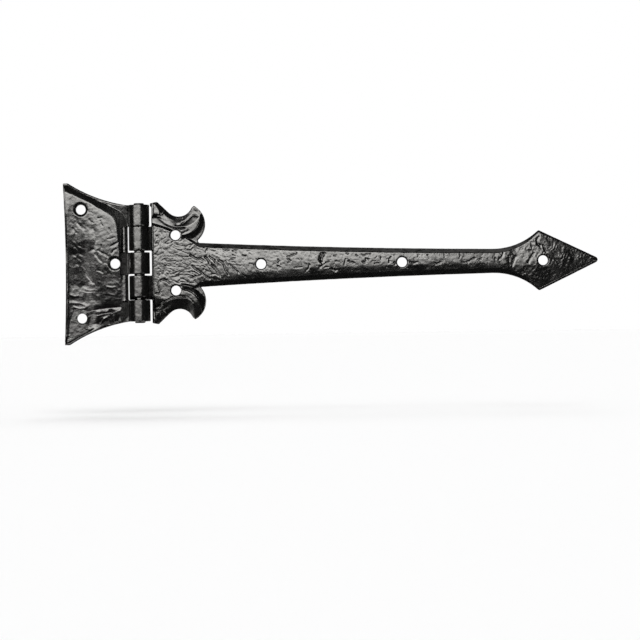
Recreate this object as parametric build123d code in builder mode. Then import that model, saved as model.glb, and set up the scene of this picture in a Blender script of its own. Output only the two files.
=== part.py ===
from build123d import *
from math import cos, hypot, radians, sin, sqrt
import os

# A cast iron tee hinge, fixed to a vertical frame. X runs along the strap and Z up along the
# pin. Both leaves have their backs in the plane y = 0 and their fronts towards -Y. The origin
# is on that plane, behind the pin, at half the height of the barrel. Sizes are millimetres.

# Barrel and pin
barrel_radius = 5.9
pin_radius = 3.0
pin_play = 0.05  # radial running fit of the strap's knuckles on the pin
pin_stand = 0.9  # how far each peened end stands out of the barrel
pin_dome = 0.7  # rounding of the peened ends
plate_knuckle = 12.2  # length of each of the plate's three knuckles
strap_knuckle = 13.7  # length of each of the strap's two knuckles
outer_gap = 0.15  # between knuckles, at the two outer joints of the barrel
inner_gap = 1.0  # the same at the two inner joints
slot_gap = 0.85  # from the barrel to the edge of the opposite leaf
ramp_radius = 4.0  # hollow in front, where a leaf climbs to its knuckle
rim_thickness = 2.4  # both leaves at their thin edges and under the barrel

# Jamb plate
plate_reach = 43.4  # from the pin to the outer corners
plate_height = 92.2
plate_hollow = 1.1  # how far the long outer edge is hollowed
flare_radius = 85.0
nib_length = 2.9  # blunt end of each outer corner
field_nib = 0.3  # what is left of it on the raised field
field_height = 4.2  # raised middle of the plate
rim_ledge = 1.0  # narrow flat left above and below the raised field
field_bevel = 3.2  # run of the slope from that ledge up to the field
outer_ledge = 0.3  # the same flat along the hollowed edge
outer_bevel = 1.2  # run of the slope along the hollowed edge
slot_ledge = 2.7  # flat beside the slots
slot_bevel = 2.0  # run of the slope from that flat up to the field
field_round = 4.5  # corners of the field beside the barrel

# Strap and arrowhead
point_x = 263.0  # where the straight edges of the arrowhead would meet
strap_height = 3.8
strap_drop = 1.4  # how far the strap's middle line lies below the middle of its knuckles and horns
strap_edge = 1.4  # upright part of the strap's edge
head_bevel = 1.2  # run of the slope along the arrowhead's edge
strap_bevel = 2.6  # the same along the strap
root_field_half = 25.4  # half height of the strap's field beside the barrel
root_field_radius = 80.0
waist_x = 34.0  # where the strap leaves its horns
waist_half = 12.6
middle_x = 110.0
middle_half = 9.2
neck_x = 201.0
neck_half = 6.9
neck_radius = 37.2
head_x = 227.2
head_half = 17.3
head_round = 1.0
tip_round = 1.65

# Root and horns, the same above and below the strap
root_half = 34.2
root_stop = 0.7  # how far the upper root corner reaches over the end of its slot
root_stop_height = 1.9
shoulder_x = 10.3
shoulder_half = 34.8
bay_x = 22.4  # centre of the round bay between root and horn
bay_half = 34.3
bay_radius = 8.0
bay_tip_angle = -23.0
bay_root_angle = -133.6
lobe_x = 25.6  # centre of the horn's round back
lobe_half = 21.9
lobe_radius = 11.8
lobe_tip_angle = 62.0
lobe_end_angle = -50.0
leaf_height = 5.1  # crest of the leaf carved on the horn
leaf_edge = 3.0  # height of the leaf where it meets the bay
leaf_run = 6.5  # from the bay's edge to the crest
leaf_x = 24.5  # centre of the leaf's round back
leaf_half = 26.0
leaf_radius = 10.3
leaf_slope = 3.0  # run of the steep slope behind the leaf
vein_width = 0.9  # groove that parts the leaf from the strap
vein_depth = 1.0
vein_start_x = 10.5
vein_end_x = 26.0
facet_height = 5.4  # lozenge on the root block
facet_foot = 26.0
facet_side = 1.7  # run of the lozenge's slopes beside the barrel and at its foot
facet_width = 3.0
facet_length = 6.2

# Screw holes
screw_radius = 2.8
plate_sink_radius = 4.2
strap_sink_radius = 3.3
sink_angle = 90.0
plate_outer_x = 33.3
plate_outer_half = 31.0
plate_inner_x = 14.1
horn_screw_x = 20.4
horn_screw_half = 15.75
strap_screw_x = 69.0
strap_screw_pitch = 80.3
strap_screws = 3

barrel_half = (3 * plate_knuckle + 2 * strap_knuckle) / 2 + outer_gap + inner_gap
slot_edge = barrel_radius + slot_gap
plate_half = plate_height / 2
corner_reach = plate_reach - nib_length
flare_start = Vector(-slot_edge, barrel_half)
flare_middle = (flare_start + Vector(-corner_reach, plate_half)) / 2
flare_side = flare_middle - flare_start
flare_depth = sqrt(flare_radius**2 - flare_side.length**2)
flare_centre = flare_middle + flare_side.rotate(Axis.Z, -90).normalized() * flare_depth
outer_knuckle_z = barrel_half - plate_knuckle / 2
strap_knuckle_z = plate_knuckle / 2 + inner_gap + strap_knuckle / 2
back_plane = Plane.XZ
strap_plane = Plane(origin=(0, 0, -strap_drop), x_dir=(1, 0, 0), z_dir=(0, -1, 0))
bay_plane = Plane(origin=(bay_x, 0, bay_half), x_dir=(1, 0, 0), z_dir=(0, 0, -1))
leaf_plane = Plane(origin=(leaf_x, 0, leaf_half), x_dir=(1, 0, 0), z_dir=(0, 0, -1))
crest_radius = bay_radius + leaf_run
bay_root_x = bay_x + bay_radius * cos(radians(bay_root_angle))
bay_root_z = bay_half + bay_radius * sin(radians(bay_root_angle))
on_back = (Align.CENTER, Align.CENTER, Align.MIN)


def knuckle_section(side, start_z, bore_radius):
    """Plan of one knuckle and its web. Side is -1 for the plate's and 1 for the strap's."""
    web_reach = slot_edge + ramp_radius
    with BuildSketch(Plane.XY.offset(start_z)) as section:
        with Locations((side * web_reach / 2, -rim_thickness / 2)):
            Rectangle(web_reach, rim_thickness)
        with Locations((0, -barrel_radius)):
            Circle(barrel_radius)
        front = section.vertices().filter_by_position(Axis.Y, -rim_thickness - 0.01, 0.01 - rim_thickness)
        throat = front.sort_by(Axis.X, reverse=side > 0)[1]
        fillet(throat, ramp_radius)
        with Locations((0, -barrel_radius)):
            Circle(bore_radius, mode=Mode.SUBTRACT)
    return section.sketch


def plate_outline(depth, inset, outer_reach, nib_reach, inner_reach, inner_round):
    """The plate or its field at one depth, drawn in by inset from the plate's flares."""
    radius = flare_radius + inset
    top = plate_half - inset
    inner_half = flare_centre.Y - sqrt(radius**2 - (flare_centre.X + inner_reach) ** 2)
    with BuildSketch(back_plane.offset(depth)) as outline:
        with BuildLine():
            RadiusArc((-inner_reach, inner_half), (-nib_reach, top), radius)
            Line((-nib_reach, top), (-outer_reach, top))
            ThreePointArc((-outer_reach, top), (plate_hollow - outer_reach, 0), (-outer_reach, -top))
            Line((-outer_reach, -top), (-nib_reach, -top))
            RadiusArc((-nib_reach, -top), (-inner_reach, -inner_half), radius)
            Line((-inner_reach, -inner_half), (-inner_reach, inner_half))
        make_face()
        if inner_round:
            fillet(outline.vertices().group_by(Axis.X)[-1], inner_round)
    return outline.sketch


def strap_outline(depth, draw_in, head_draw_in):
    """The strap, its field and its arrowhead at one depth, drawn in from their edges."""
    root = (slot_edge + head_draw_in, root_field_half - draw_in)
    waist = (waist_x, waist_half - draw_in)
    middle = (middle_x, middle_half - draw_in)
    neck = (neck_x, neck_half - draw_in)
    point_slope = head_half / (point_x - head_x)
    lowering = head_draw_in * hypot(1, point_slope)
    head = (head_x, head_half - lowering)
    with BuildSketch(strap_plane.offset(depth)) as outline:
        with BuildLine():
            RadiusArc(root, waist, root_field_radius)
            ThreePointArc(waist, middle, neck)
            RadiusArc(neck, head, -neck_radius)
            Line(head, (point_x - lowering / point_slope, 0))
            mirror(about=Plane.XZ)
            Line(root, (root[0], -root[1]))
        make_face()
        corners = outline.vertices().filter_by_position(Axis.X, neck_x + head_round, point_x)
        fillet(corners.sort_by(Axis.X)[-1], tip_round)
        corners = outline.vertices().filter_by_position(Axis.X, neck_x + head_round, head_x)
        fillet(corners, head_round)
    return outline.sketch


def horn_outline():
    """The upper half of the strap's root, with its horn."""
    with BuildSketch(back_plane) as outline:
        with BuildLine():
            bay = CenterArc((bay_x, bay_half), bay_radius, bay_tip_angle, bay_root_angle - bay_tip_angle)
            lobe = CenterArc((lobe_x, lobe_half), lobe_radius, lobe_tip_angle, lobe_end_angle - lobe_tip_angle)
            Line(bay @ 0, lobe @ 0)
            Polyline(bay @ 1, (shoulder_x, shoulder_half), (slot_edge, root_half), (slot_edge, 0),
                     (waist_x, 0), lobe @ 1)
        make_face()
    return outline.sketch


def screw_places(height, spots):
    """Places on a leaf's front, height above its back."""
    return [back_plane.offset(height).location * Pos(x, z) for x, z in spots]


with BuildPart() as jamb_plate:
    extrude(plate_outline(0, 0, plate_reach, corner_reach, slot_edge, 0), amount=rim_thickness)

    # Raised field with sloping sides
    foot_reach = plate_reach - outer_ledge
    top_reach = foot_reach - outer_bevel
    slot_reach = slot_edge + slot_ledge
    foot = plate_outline(rim_thickness, rim_ledge, foot_reach, corner_reach, slot_reach, field_round)
    top = plate_outline(field_height, rim_ledge + field_bevel, top_reach, top_reach - field_nib,
                        slot_reach + slot_bevel, field_round)
    loft([foot, top], ruled=True)

    for centre_z in (-outer_knuckle_z, 0, outer_knuckle_z):
        extrude(knuckle_section(-1, centre_z - plate_knuckle / 2, pin_radius), amount=plate_knuckle)

    plate_screws = [(-plate_outer_x, plate_outer_half), (-plate_outer_x, -plate_outer_half),
                    (-plate_inner_x, 0)]
    with Locations(*screw_places(field_height, plate_screws)):
        CounterSinkHole(screw_radius, plate_sink_radius, counter_sink_angle=sink_angle)
jamb_plate.part.label = "jamb_plate"

with BuildPart() as horn_leaf:
    # Round back of the leaf, right of the horn's screw, with its steep slope
    with BuildSketch(leaf_plane):
        with BuildLine():
            Polyline((0, 0), (leaf_radius + leaf_slope, 0), (leaf_radius + leaf_slope, rim_thickness),
                     (leaf_radius, leaf_height), (0, leaf_height), close=True)
        make_face()
    revolve(axis=Axis((leaf_x, 0, leaf_half), (0, 1, 0)))
    split(bisect_by=Plane.YZ.offset(horn_screw_x + screw_radius), keep=Keep.TOP)
    with Locations(back_plane.location * Pos(bay_x, bay_half)):
        Cylinder(crest_radius, facet_height, align=on_back, mode=Mode.SUBTRACT)

    # Cone-shaped slope from the edge of the bay up to the leaf's crest
    with BuildSketch(bay_plane):
        with BuildLine():
            Polyline((bay_radius / 2, 0), (bay_radius / 2, leaf_edge), (bay_radius, leaf_edge),
                     (crest_radius, leaf_height), (crest_radius, 0), close=True)
        make_face()
    revolve(axis=Axis((bay_x, 0, bay_half), (0, 1, 0)))
    extrude(horn_outline(), amount=facet_height, mode=Mode.INTERSECT)

with BuildPart() as horn:
    extrude(horn_outline(), amount=rim_thickness)
    add(horn_leaf.part)

    # Root block with its lozenge, beside the barrel
    with BuildSketch(back_plane.offset(rim_thickness)) as block_foot:
        with BuildLine():
            Polyline((slot_edge, facet_foot), (slot_edge, root_half), (shoulder_x, shoulder_half),
                     (bay_root_x, bay_root_z), (bay_root_x - facet_side, facet_foot), close=True)
        make_face()
    facet_x = slot_edge + facet_side
    facet_z = facet_foot + facet_side
    with BuildSketch(back_plane.offset(facet_height)) as lozenge:
        with BuildLine():
            Polyline((facet_x, facet_z), (facet_x, facet_z + facet_length),
                     (facet_x + facet_width / 3, facet_z + facet_length - facet_width / 3),
                     (facet_x + facet_width, facet_z + facet_length / 3), (facet_x + facet_width, facet_z),
                     close=True)
        make_face()
    loft([block_foot.sketch, lozenge.sketch], ruled=True)

with BuildPart() as strap:
    extrude(strap_outline(0, 0, 0), amount=strap_edge)
    foot = strap_outline(strap_edge, 0, 0)
    top = strap_outline(strap_height, strap_bevel, head_bevel)
    loft([foot, top], ruled=True)

    # The upper horn also has the corner that closes its slot
    add(horn.part)
    add(mirror(horn.part, about=Plane.XY, mode=Mode.PRIVATE))
    with BuildSketch(back_plane):
        with Locations((slot_edge, root_half)):
            Rectangle(2 * root_stop, root_stop_height, align=(Align.CENTER, Align.MAX))
    extrude(amount=rim_thickness)

    # Veins between the leaves and the strap's field
    for side in (1, -1):
        with BuildSketch(back_plane.offset(strap_height - vein_depth)):
            with Locations((bay_x, side * bay_half)):
                Circle(crest_radius + vein_width)
                Circle(crest_radius, mode=Mode.SUBTRACT)
            with Locations((vein_end_x, 0)):
                Rectangle(vein_end_x - vein_start_x, 2 * bay_half, align=(Align.MAX, Align.CENTER),
                          mode=Mode.INTERSECT)
        extrude(amount=facet_height, mode=Mode.SUBTRACT)

    for centre_z in (-strap_knuckle_z, strap_knuckle_z):
        bore_radius = pin_radius + pin_play
        extrude(knuckle_section(1, centre_z - strap_knuckle / 2, bore_radius), amount=strap_knuckle)

    root_screws = [(horn_screw_x, horn_screw_half), (horn_screw_x, -horn_screw_half)]
    strap_line = [(strap_screw_x + index * strap_screw_pitch, -strap_drop) for index in range(strap_screws)]
    with Locations(*screw_places(strap_height, root_screws + strap_line)):
        CounterSinkHole(screw_radius, strap_sink_radius, counter_sink_angle=sink_angle)
strap.part.label = "strap"

with BuildPart() as pin:
    with Locations((0, -barrel_radius, 0)):
        Cylinder(pin_radius, 2 * (barrel_half + pin_stand))
    fillet(pin.edges().filter_by(GeomType.CIRCLE), pin_dome)
pin.part.label = "pin"

os.makedirs("parts", exist_ok=True)
export_step(jamb_plate.part, "parts/jamb_plate.step")
export_step(strap.part, "parts/strap.step")
export_step(pin.part, "parts/pin.step")
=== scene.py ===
import math

import bmesh
import bpy
import numpy as np
from bpy.props import FloatProperty, FloatVectorProperty, IntProperty, PointerProperty
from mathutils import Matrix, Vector, noise


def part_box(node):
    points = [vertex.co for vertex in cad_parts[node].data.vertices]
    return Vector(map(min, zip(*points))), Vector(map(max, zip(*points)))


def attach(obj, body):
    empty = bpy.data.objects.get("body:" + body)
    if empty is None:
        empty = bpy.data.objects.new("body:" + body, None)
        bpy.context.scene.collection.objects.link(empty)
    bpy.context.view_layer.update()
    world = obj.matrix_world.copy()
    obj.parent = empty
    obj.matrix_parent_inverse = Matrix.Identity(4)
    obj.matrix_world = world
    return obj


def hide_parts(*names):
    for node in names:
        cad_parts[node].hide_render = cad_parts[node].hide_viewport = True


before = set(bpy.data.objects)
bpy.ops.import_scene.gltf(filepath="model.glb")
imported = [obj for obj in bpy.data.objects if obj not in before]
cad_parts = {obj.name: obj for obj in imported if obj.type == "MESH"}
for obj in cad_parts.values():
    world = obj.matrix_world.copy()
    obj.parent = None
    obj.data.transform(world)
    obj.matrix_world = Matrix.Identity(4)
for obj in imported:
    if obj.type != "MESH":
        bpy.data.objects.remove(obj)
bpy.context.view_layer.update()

bl_info = {
    "name": "Cast tee hinge",
    "version": (1, 0, 0),
    "blender": (4, 5, 0),
    "location": "3D View > Sidebar > Tee hinge",
    "description": "Sand-cast finish, black paint and studio for a decorated tee hinge",
    "category": "Object",
}

MM = 0.001  # places and strokes below are in millimetres, as a founder would measure them
BOX_MARGIN = 1e-6  # how far inside its node's box a piece stays, in metres
MERGE_DISTANCE = 0.001 * MM

# Sizes of the castings that the relief has to know, seen from the front. x runs from the pin
# towards the arrowhead, z runs up, and heights count from the flat back.
BARREL_RADIUS = 5.9
BARREL_FOOT = 4.8  # height above which the plate's front is the barrel's
RIM_HEIGHT = 2.4
PLATE_FIELD_HEIGHT = 4.2
PLATE_FIELD_SIDE = -12.1
MIDDLE_WEB = 6.3  # the webs that carry the plate's knuckles lie within this |z| ...
OUTER_WEBS = (20.95, 34)  # ... and between these
FLARE_CENTRE = (5.84, 117.4)
FLARE_RADIUS = 85.0
STRAP_DROP = 1.4
BAY_CENTRE = (22.4, 34.3)
BAY_RADIUS = 8.0
STRAP_SCREWS = ((20.4, 15.75), (20.4, -15.75), (69.0, -1.4), (149.3, -1.4), (229.6, -1.4))
SCREW_RADIUS = 2.8

# The plate's planed slopes: their lowest heights, where they start, and what they fall per length
CORNER_HEIGHT = 0.9
WEB_HEIGHT = 0.6
CORNER_LINE = (0.447, 0.894, 18.4)  # across the field's upper right corner: normal, distance
CORNER_ROUNDING = 5.0
SLOT_FALL = 0.45
UPPER_WEB_START, UPPER_WEB_FALL = -10, 0.2
UPPER_WEB_LEAN = (0.1, 0.11)  # least slope of the upper web, to the right and down
MIDDLE_WEB_START, MIDDLE_WEB_FALL = -10.6, 0.38
LOWER_WEB_HEIGHT = 2.0
LOWER_WEB_START, LOWER_WEB_FALL = -13, 0.1
LOWER_WEB_LEAN = 0.09  # what the lower web falls downwards
LOWER_CORNER_START, LOWER_CORNER_FALL = -14, 0.24
CLEAR = 5.0  # lifts a slope clear of the plate where it has no place
WEB_SLOPE_END, SLOT_SLOPE_END = -5.0, -9.8  # how far right the slopes reach

# Wear of the plate's rims and of the strap, as what a worn edge falls per length
SLOT_WEAR = 0.45
SLOT_RIM, SLOT_WEAR_START = -9.6, -8.6
FLARE_WEAR = 0.5
LOW_FLARE_WEAR = 0.22
SCREW_WEAR = 0.7
LOBE_WEAR = 0.7

# The leaves that the horns carry
LEAF_CREST = 14.5  # from the middle of the bay
LOWER_LEAF_EXTRA = 2.0
SHOULDER_RISE = 0.45

# Hammered steps and wrinkles, each run with its middle, the angle of its lines in degrees, their
# length and width, and its strength. Between two middles one run blends into the next.
STEP_TURN = 0.6  # share of a hammered step that its long side takes
RUN_SPREAD = 9.0
PLATE_STEPS = [  # down the upper left, slanting in the middle and along the lower flare
    (30, -50, 9.0, 5.0, 0.8), (14, -45, 9.0, 5.0, 1.0), (-2, -35, 9.0, 4.5, 0.8),
    (-18, -8, 10.0, 4.0, 0.6), (-36, 22, 10.0, 4.0, 0.8),
]
STRAP_WRINKLES = [  # across the root, slanting along the first third, thinner beyond it
    (10, 82, 3.5, 2.0, 0.7), (24, -6, 5.0, 1.8, 0.9), (38, -34, 6.0, 2.6, 0.7),
    (54, -43, 6.0, 2.6, 0.6), (70, -30, 4.0, 2.3, 0.25), (88, -12, 4.0, 2.3, 0.2),
]
HEAD_STEPS = [
    (205, 70, 5.0, 3.0, 0.3), (221, 62, 5.0, 3.0, 0.5), (240, 62, 5.0, 3.0, 1.0),
    (256, 62, 5.0, 3.0, 0.8),
]

# The grain under the paint, its sizes as patterns per metre, the painted crest highlight and the
# paint's gloss
FINE_GRAIN = 2600.0
COARSE_GRAIN = 700.0
COARSE_SHARE = 0.6
PATCHES = 120.0
CREST = (0.52, 0.62)  # pointiness at which the painted crest highlight starts, and at which it is whole
GLOSS_SPREAD = (-0.06, 0.08)  # of the roughness, from the smooth patches to the dull ones

# The pin
PIN_SIDES = 64
PIN_ROUNDING = 0.7 * MM

# Where a soft box fades in across its width (0) and its height (1): the share of the side at
# which it is dark, and the share at which it is bright
KEY_FADES = [(0, 0.0, 0.36), (0, 1.0, 0.93), (1, 0.0, 0.49), (1, 1.0, 0.60)]
EVEN_FADES = [(0, 0.0, 0.35), (0, 1.0, 0.65), (1, 0.0, 0.35), (1, 1.0, 0.65)]

# The soft boxes, in metres: name, place, direction it faces, width and height, the studio
# setting that gives its brightness, and its fades
SOFT_BOXES = [
    ("key", (-0.545, -0.9, 0.23), (0, 1, 0), (1.81, 0.7), "key_light", KEY_FADES),
    ("low_left", (-0.9, -0.9, -0.5), (0, 1, 0), (1.0, 0.7), "low_light", EVEN_FADES),
    ("rear_left", (-0.9, 0.9, -0.1), (0, -1, 0), (1.1, 1.4), "rear_light", EVEN_FADES),
    ("low_right", (1.1, -0.9, -0.5), (0, 1, 0), (1.0, 0.7), "low_light", EVEN_FADES),
    ("rear_right", (1.1, 0.9, -0.1), (0, -1, 0), (1.1, 1.4), "rear_light", EVEN_FADES),
    ("rear_low", (0.1, 0.9, -0.55), (0, -1, 0), (1.4, 0.7), "rear_light", EVEN_FADES),
    ("overhead", (0.1, 0, 0.9), (0, 0, -1), (1.4, 0.5), "overhead_light", EVEN_FADES),
]
SOFT_BOX_COLOUR = (1.0, 0.985, 0.95)
FLOOR_LAMPS = (("floor_front", 42), ("floor_top", 0), ("floor_back", -42))  # tilts in degrees
FLOOR_LAMP_ANGLE = 40
CAMERA_ASIDE, CAMERA_HEIGHT = 0.1021, -0.0337  # metres from the pin's middle
SENSOR_WIDTH = 36  # millimetres

# Marks on the castings, each with its points (x, z) as seen from the front, its half width and
# its depth. A negative depth is a ridge.
PLATE_MARKS = [
    ([(-28.4, 25.1), (-27.7, 24), (-26.5, 23.4)], 0.48, 0.18),
    ([(-26.4, 20.1), (-25.4, 18.4), (-25.1, 15.9), (-24.8, 13.5), (-25.5, 11), (-26.1, 8.2)],
     1.7, 0.35),
    ([(-23.5, 7.6), (-21.8, 6.3), (-19.1, 5.2), (-18.2, 4.1)], 0.54, 0.24),
    ([(-23.4, 25.9), (-21.5, 26.2)], 0.48, 0.18),
    ([(-22, 24.5), (-21.6, 22.7), (-20.8, 21.4)], 0.48, 0.18),
    ([(-17.2, 20.3), (-16.9, 19.4), (-16, 17.2)], 0.42, 0.18),
    ([(-18, 14), (-16.5, 14.1), (-14.3, 14.9)], 0.42, 0.15),
    ([(-15.6, 10.1), (-14, 11), (-12.5, 11.8), (-10.9, 12.3)], 0.72, 0.24),
    ([(-15.7, 6.1), (-14.7, 7.5), (-13.5, 8.2)], 0.6, 0.24),
    ([(-35.7, 26.6), (-35.2, 23.2), (-33.3, 21.3), (-31.5, 20.2)], 0.72, 0.24),
    ([(-37.7, 20.4), (-36.2, 17.9)], 0.6, 0.21), ([(-21.8, 10.3), (-21.6, 9.1)], 0.48, 0.18),
    ([(-25.2, 5.5), (-23.7, 3.3), (-21.9, 1.4)], 0.72, 0.24),
    ([(-31.1, -4.9), (-29.8, -7.2), (-27.9, -9.5)], 0.6, 0.21),
    ([(-24.5, -3.7), (-22.6, -4.1), (-21.3, -5)], 0.48, 0.18),
    ([(-29.2, -11.1), (-26.6, -11.8)], 0.6, -0.18),
    ([(-18.8, -13.1), (-16.2, -13.6), (-14.5, -13.3)], 0.6, -0.18),
    ([(-40.7, -17.2), (-37.7, -18.3), (-35.8, -18.1)], 0.7, -0.15),
    ([(-39.8, -22.0), (-36.5, -22.1), (-33.3, -22.8), (-31, -24.2)], 1.4, -0.2),
    ([(-37.9, -24.4), (-34.9, -25.4), (-31.7, -25.1)], 0.72, -0.18),
    ([(-31.4, -27.6), (-28.7, -26.8), (-24.5, -26.0), (-19.6, -25.4), (-8.0, -24.4)], 1.7, 0.55),
    ([(-29.4, -29.8), (-27.5, -28.8), (-24.5, -29.5), (-21.3, -28.6), (-17.3, -28.0),
      (-14.7, -28.4)], 1.2, -0.38),
    ([(-22.3, -32.8), (-21, -31.5), (-19.7, -30.5)], 0.6, -0.18),
    ([(-42.3, -41), (-38.7, -40.1), (-34.8, -38.5), (-30.9, -36.4)], 0.48, -0.21),
    ([(-41.7, -42), (-37.8, -40.7), (-32.8, -38.8), (-27.6, -36.6)], 0.6, 0.3),
]
STRAP_MARKS = [
    ([(29, 4), (31, 2.8), (32.8, 1.9), (34.8, 2.1), (36.5, 0.9)], 0.6, 0.33),
    ([(37.3, 2.7), (38.6, 2.1), (39.4, 0.3), (39.8, -0.6)], 0.7, 0.39),
    ([(39.7, 3.1), (41.5, 2), (43.2, 0), (44.9, -2)], 0.5, 0.33),
    ([(41.2, 3.9), (43.2, 3.2), (44.7, 2)], 0.35, 0.2),
    ([(44.9, 0.9), (46.7, 0), (47.8, -1.5), (48.6, -4.1), (50.3, -7.1)], 0.6, 0.36),
    ([(40.3, -1.7), (42, -2.6), (43.4, -4.4), (44.5, -6.1), (45.7, -7.9)], 0.6, 0.36),
    ([(51.9, -2.2), (53, -3.7), (54.7, -5.1), (56.2, -6)], 0.45, 0.26),
    ([(51, 0.7), (52.8, 2.1), (54.2, 2.1)], 0.4, 0.23),
    ([(53.1, 6.2), (54.3, 6.8), (55.8, 7)], 0.4, 0.26),
    ([(29.8, -1.9), (31.5, -3.6), (33.8, -5.1), (35.5, -6.3), (37.3, -7.8), (39.6, -9.5)],
     0.5, 0.33),
    ([(25.7, -3.8), (27.5, -3.6), (28.3, -3.3)], 0.4, 0.26),
    ([(30, -8.8), (32, -7.7), (34.4, -7.4)], 0.4, 0.26),
    ([(35.3, -1.9), (37, -2.8), (36.4, -4.3)], 0.5, 0.26), ([(58.6, 3.5), (60.3, 2.9)], 0.5, 0.23),
    ([(37.5, 5.6), (38.3, 7.3), (39.5, 8.2)], 0.4, 0.23),
    ([(40.8, -6.9), (43.1, -6.7), (44.5, -7.8)], 0.5, 0.26),
    ([(48.7, 0.8), (49.8, -1.3), (50.7, -1.6)], 0.4, 0.23),
    ([(54.8, -1.7), (57.1, -2.3)], 0.35, 0.2),
    ([(47.6, 7.5), (49.1, 6.9), (50.8, 7.1)], 0.6, 0.33),
    ([(30.3, -5.4), (31.5, -5.9), (32.6, -6.5)], 0.35, 0.2), ([(47.3, 3.4), (49, 2.6)], 0.35, 0.2),
    ([(25.9, 7.5), (27.6, 6.9), (29.3, 7.1), (30.2, 8)], 0.4, 0.23),
    ([(28.8, 8.6), (29.7, 9.8), (31.1, 11.2)], 0.35, 0.2),
    ([(62.6, -1.1), (63.8, -1.4)], 0.4, 0.23),
    ([(83.9, 2.4), (85.2, 2.8), (87.2, 3.5), (89.5, 4.2)], 0.4, 0.26),
    ([(84.2, 1.4), (85.8, 0), (84.5, -0.9)], 0.5, 0.26),
    ([(78.7, 1.1), (79.3, -0.2), (79, -0.9)], 0.5, 0.26), ([(78.3, -2.8), (80.2, -3.5)], 0.5, 0.23),
    ([(104.5, 3.7), (103.7, 2.2), (103.3, 0.3)], 1.2, 1.0),
    ([(102.4, -3.8), (104.4, -2.5), (103.8, -1.2)], 0.5, 0.26),
    ([(105.1, -2), (106.7, -1), (107.7, -0.7)], 0.4, 0.26),
    ([(105.1, -3.9), (107.3, -3.6)], 0.4, 0.23),
    ([(94.9, -5.4), (96.2, -4.1), (96.6, -2.1)], 0.4, 0.26),
    ([(109, -4.6), (111.2, -5.9), (112.2, -5.3)], 0.5, 0.26),
    ([(110.7, 2.6), (112, 2.9)], 0.45, 0.26),
    ([(87.7, -3.7), (90.4, -3.7), (92.3, -3.4)], 0.3, 0.16),
    ([(111.3, -0.4), (113.3, -0.7)], 0.35, 0.2),
    ([(116.5, -2.4), (116.9, -0.7), (117.2, 0.6)], 0.4, 0.26),
    ([(118.5, -0.4), (120.5, -1.1), (121.8, -1.6)], 0.4, 0.26),
    ([(117.6, 4.1), (118.9, 3.5)], 0.4, 0.23),
    ([(126.7, -0.9), (128, -1.6), (129, -0.3), (128.7, 0.7), (130.3, 0.3)], 0.5, 0.33),
    ([(133.8, -2), (136.5, -1.7)], 0.35, 0.26), ([(142, -1.4), (142, 0.2), (143, 1.4)], 0.45, 0.29),
    ([(145, -1.2), (145.4, -2.8)], 0.5, 0.26), ([(134.2, 1), (134.9, 1.9)], 0.3, 0.2),
    ([(137.3, 1.6), (137.3, 0.3)], 0.35, 0.2), ([(123.1, 3.1), (124.1, 2.2)], 0.35, 0.23),
    ([(126.4, 3.3), (127.7, 2.7), (129.4, 3.6), (131.3, 3.3)], 0.35, 0.23),
    ([(153.5, -1.3), (156.1, -2.3), (157.7, -1.6)], 0.4, 0.23),
    ([(163.6, 2.5), (164, 2.3)], 0.4, 0.26),
    ([(173.3, 2.7), (173.6, 1.1)], 0.4, 0.26),
    ([(167.5, -2.1), (169.1, -2.8), (171.1, -1.8)], 0.5, 0.33),
    ([(188.4, -0.5), (190.7, 0.2)], 0.4, 0.29),
    ([(183.2, -1.7), (185.1, -2.1), (187.8, -1.4)], 0.4, 0.26),
    ([(182, 3.5), (182.6, 1.6), (181.9, 0.3)], 0.35, 0.23),
    ([(193.3, -0.5), (194.6, 0.1)], 0.4, 0.26),
    ([(202.2, 0.3), (202.5, -0.7)], 0.4, 0.23),
    ([(204.4, -0.7), (206.1, 0.6), (207.1, 3.2)], 0.5, 0.26),
    ([(210, 1.2), (210.3, -2), (210.6, -4)], 0.4, 0.26),
    ([(213.9, 0.8), (213, -1.6), (212.1, -4.2)], 0.7, 0.33),
    ([(222.7, 7.4), (223.5, 6), (223.1, 4.7)], 0.4, 0.23), ([(220, 4.3), (224.4, 4.1)], 0.3, 0.2),
    ([(221.2, -2.6), (222.6, 0), (224.3, 2.6)], 0.6, 0.33),
    ([(227.1, 11.7), (226.2, 9.9), (226.6, 7.8), (227.9, 6.9)], 0.8, 0.33),
    ([(229.6, 6.9), (231.3, 3.4)], 0.6, 0.26),
]
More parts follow.
